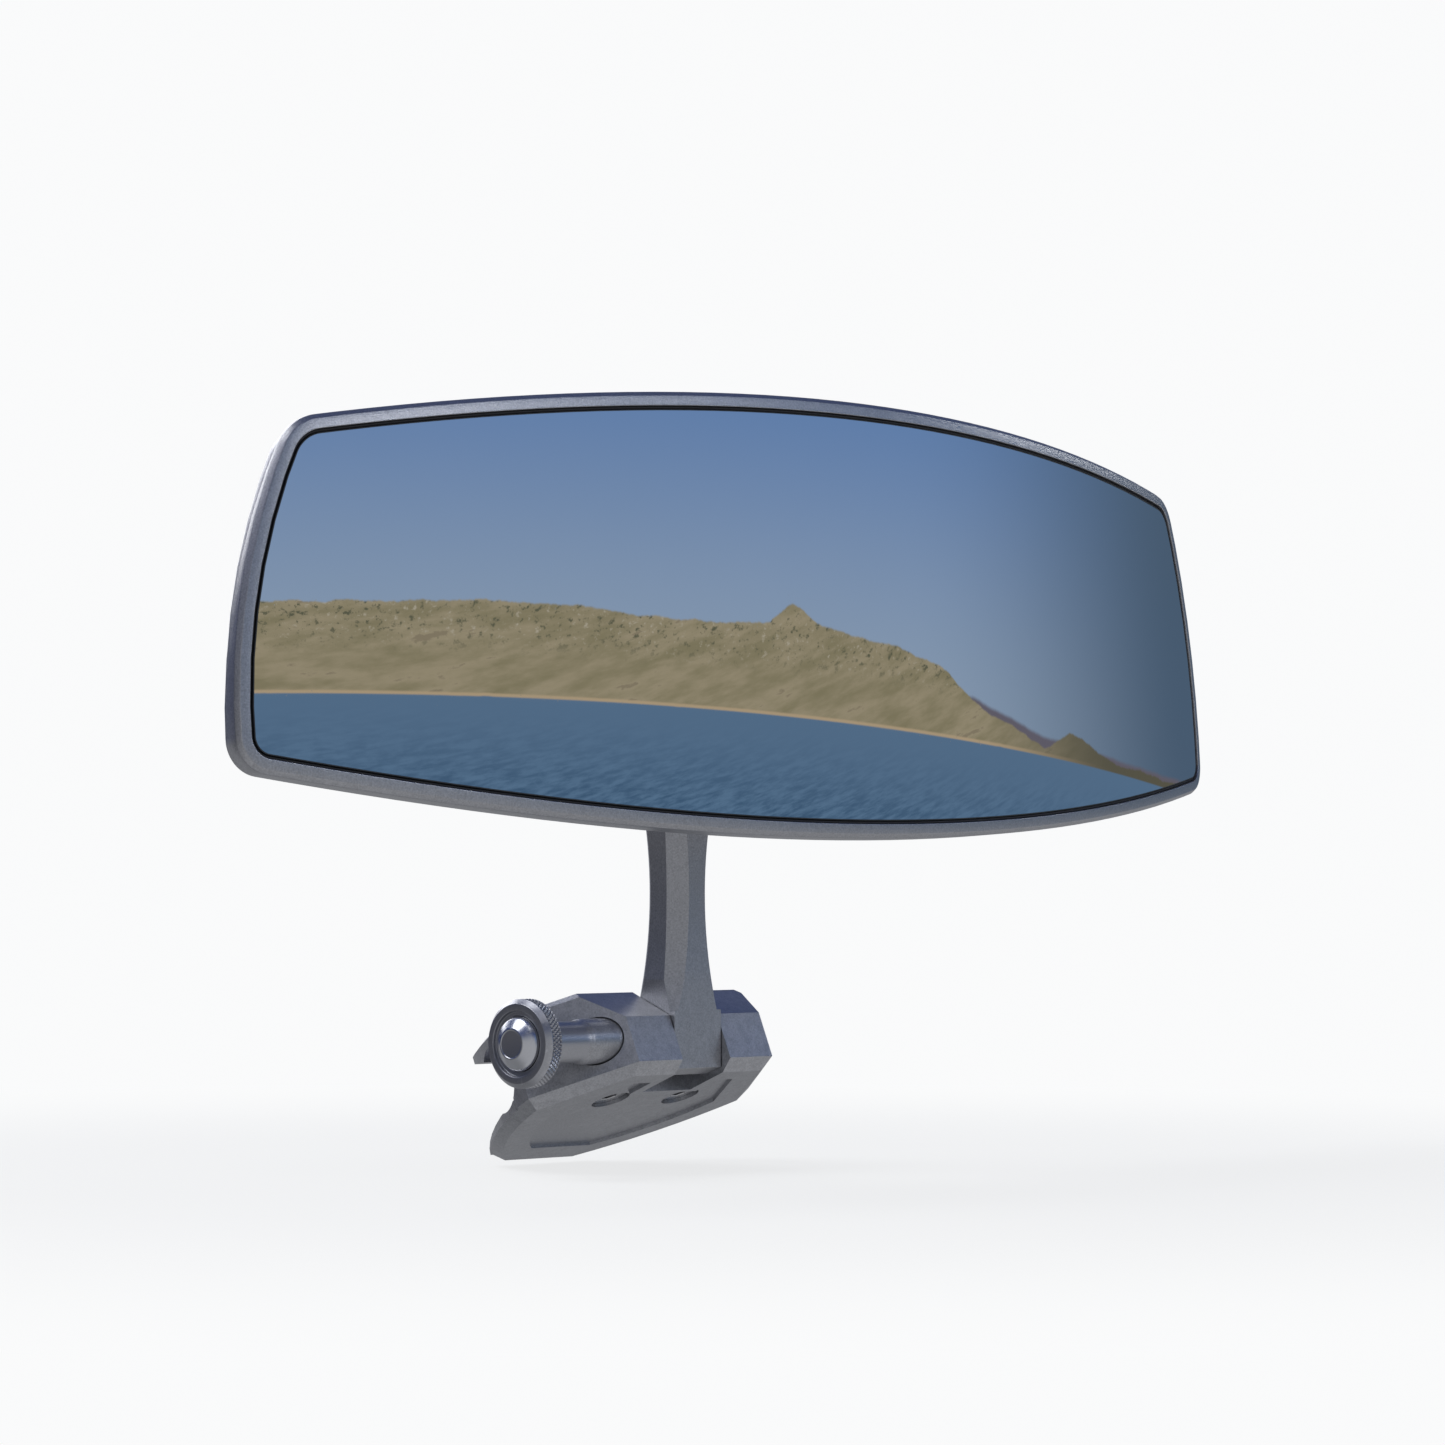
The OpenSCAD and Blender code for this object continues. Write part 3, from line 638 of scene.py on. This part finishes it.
def surroundings():
    """The world: paper for the camera, hills and water in gloss, soft white light for the rest."""
    world = bpy.data.worlds.new("studio")
    bpy.context.scene.world = world
    world.use_nodes = True
    kit = Nodes(world.node_tree)
    way = kit.add("ShaderNodeTexCoord").outputs["Generated"]
    x, y, z = kit.add("ShaderNodeSeparateXYZ", {0: way}).outputs
    level = kit.math("ADD", kit.math("ADD", z, kit.math("MULTIPLY", y, TIP_Y)), LEVEL_SHIFT)
    level = kit.math("ADD", level, kit.math("MULTIPLY", x, TIP_X))
    turn = kit.math("ARCTAN2", x, kit.math("MULTIPLY", y, -1.0))

    # hills
    rough = kit.noise(way, 26.0, 8.0, 0.62)
    share = kit.math("DIVIDE", turn, math.radians(AZIMUTH_SPAN), clamp=True)

    def heights(line):
        ramp = kit.add("ShaderNodeValToRGB", {0: share})
        stops = ramp.color_ramp.elements
        while len(stops) < len(line):
            stops.new(0.5)
        for stop, (azimuth, height) in zip(stops, line):
            stop.position = azimuth / AZIMUTH_SPAN
            stop.color = rgb(*[height / HEIGHT_SPAN] * 3)
        return kit.math("MULTIPLY", ramp.outputs[0], HEIGHT_SPAN / 1000)

    jitter = kit.swing(rough, 0.0030)
    ridge = kit.math("ADD", heights(RIDGE), jitter)
    far_ridge = kit.math("ADD", heights(FAR_RIDGE), kit.math("MULTIPLY", jitter, 0.5))

    def below_line(line, soft):
        return kit.math("SUBTRACT", 1.0, kit.step(kit.math("SUBTRACT", level, line), -soft, soft))

    hill = below_line(ridge, 0.0003)
    far_hill = below_line(far_ridge, 0.0006)
    folds = kit.noise(way, 1.6, 6.0, 0.6, stretch=(9.0, 9.0, 190.0))
    specks = kit.noise(way, 95.0, 5.0, 0.75, stretch=(1.0, 1.0, 8.0))
    earth = kit.mix(kit.step(folds, 0.3, 0.7), rgb(0.185, 0.160, 0.095), rgb(0.275, 0.230, 0.152))
    high = kit.step(level, 0.007, 0.015)
    earth = kit.mix(kit.math("MULTIPLY", kit.step(specks, 0.55, 0.63), high), earth,
                    rgb(0.085, 0.085, 0.055))
    earth = kit.mix(kit.math("MULTIPLY", kit.step(specks, 0.42, 0.34), high), earth,
                    rgb(0.33, 0.29, 0.22))
    earth = kit.mix(kit.step(folds, 0.62, 0.66), earth, rgb(0.20, 0.165, 0.11))
    earth = kit.mix(kit.math("SUBTRACT", 1.0, kit.step(level, 0.0004, 0.0009)), earth,
                    rgb(0.36, 0.27, 0.17))
    earth = kit.mix(kit.step(turn, 1.05, 1.35), earth, rgb(0.085, 0.078, 0.055))

    # sky: blue in front of the mirror, haze elsewhere (dark at the left and behind), deep blue overhead
    off_front = kit.math("ABSOLUTE", kit.math("SUBTRACT", turn, 0.85))
    front_way = kit.math("SUBTRACT", 1.0, kit.step(off_front, 0.95, 1.35))
    blue = kit.mix(kit.step(level, 0.0, 0.08), rgb(0.225, 0.29, 0.385), rgb(0.098, 0.182, 0.36))
    blue = kit.mix(kit.step(turn, 0.95, 1.55), blue, rgb(0.06, 0.095, 0.145))
    haze = kit.mix(kit.step(level, 0.0, 0.35), rgb(0.40, 0.405, 0.42), rgb(0.26, 0.28, 0.33))
    left_way = kit.step(kit.math("MULTIPLY", turn, -1.0), 1.25, 1.9)
    haze = kit.mix(left_way, haze, rgb(0.040, 0.045, 0.063))
    rear_way = kit.step(kit.math("ABSOLUTE", turn), 2.35, 2.8)
    haze = kit.mix(rear_way, haze, rgb(0.025, 0.040, 0.105))
    sky = kit.mix(front_way, haze, blue)
    sky = kit.mix(kit.step(level, 0.16, 0.48), sky, rgb(0.030, 0.055, 0.165))

    # water and, nearer and below, the deck
    ripple = kit.noise(way, 2.8, 8.0, 0.66, stretch=(13.0, 13.0, 400.0))
    water = kit.mix(kit.step(ripple, 0.34, 0.66), rgb(0.030, 0.068, 0.125), rgb(0.085, 0.150, 0.235))
    water = kit.mix(kit.step(level, -0.028, 0.0), water, rgb(0.078, 0.135, 0.215))
    deck = kit.mix(kit.step(level, -0.9, -0.15), rgb(0.20, 0.205, 0.215), rgb(0.31, 0.315, 0.33))
    deck = kit.mix(kit.step(y, -0.1, 0.45), rgb(0.40, 0.405, 0.42), deck)
    deck = kit.mix(kit.math("MULTIPLY", left_way, kit.step(level, -0.7, -0.1)), deck,
                   rgb(0.09, 0.09, 0.10))
    below = kit.mix(kit.math("MULTIPLY", kit.step(level, -0.20, -0.08), front_way), deck, water)
    sky = kit.mix(kit.math("MULTIPLY", far_hill, front_way), sky, rgb(0.105, 0.095, 0.12))
    above = kit.mix(kit.math("MULTIPLY", hill, front_way), sky, earth)
    view = kit.mix(kit.step(level, -0.0002, 0.0002), below, above)

    path = kit.add("ShaderNodeLightPath")
    paper = kit.add("ShaderNodeBackground", {"Color": PAPER, "Strength": 1.0})
    soft = kit.add("ShaderNodeBackground", {"Color": SOFT_COLOUR, "Strength": SOFT_LIGHT})
    seen = kit.add("ShaderNodeBackground", {"Color": view, "Strength": SEEN_LIGHT})
    gloss = kit.add("ShaderNodeMixShader", {0: path.outputs["Is Glossy Ray"], 1: soft.outputs[0],
                                            2: seen.outputs[0]})
    final = kit.add("ShaderNodeMixShader", {0: path.outputs["Is Camera Ray"], 1: gloss.outputs[0],
                                            2: paper.outputs[0]})
    kit.add("ShaderNodeOutputWorld", {"Surface": final.outputs[0]})


surroundings()
bpy.context.scene.view_settings.view_transform = "Standard"
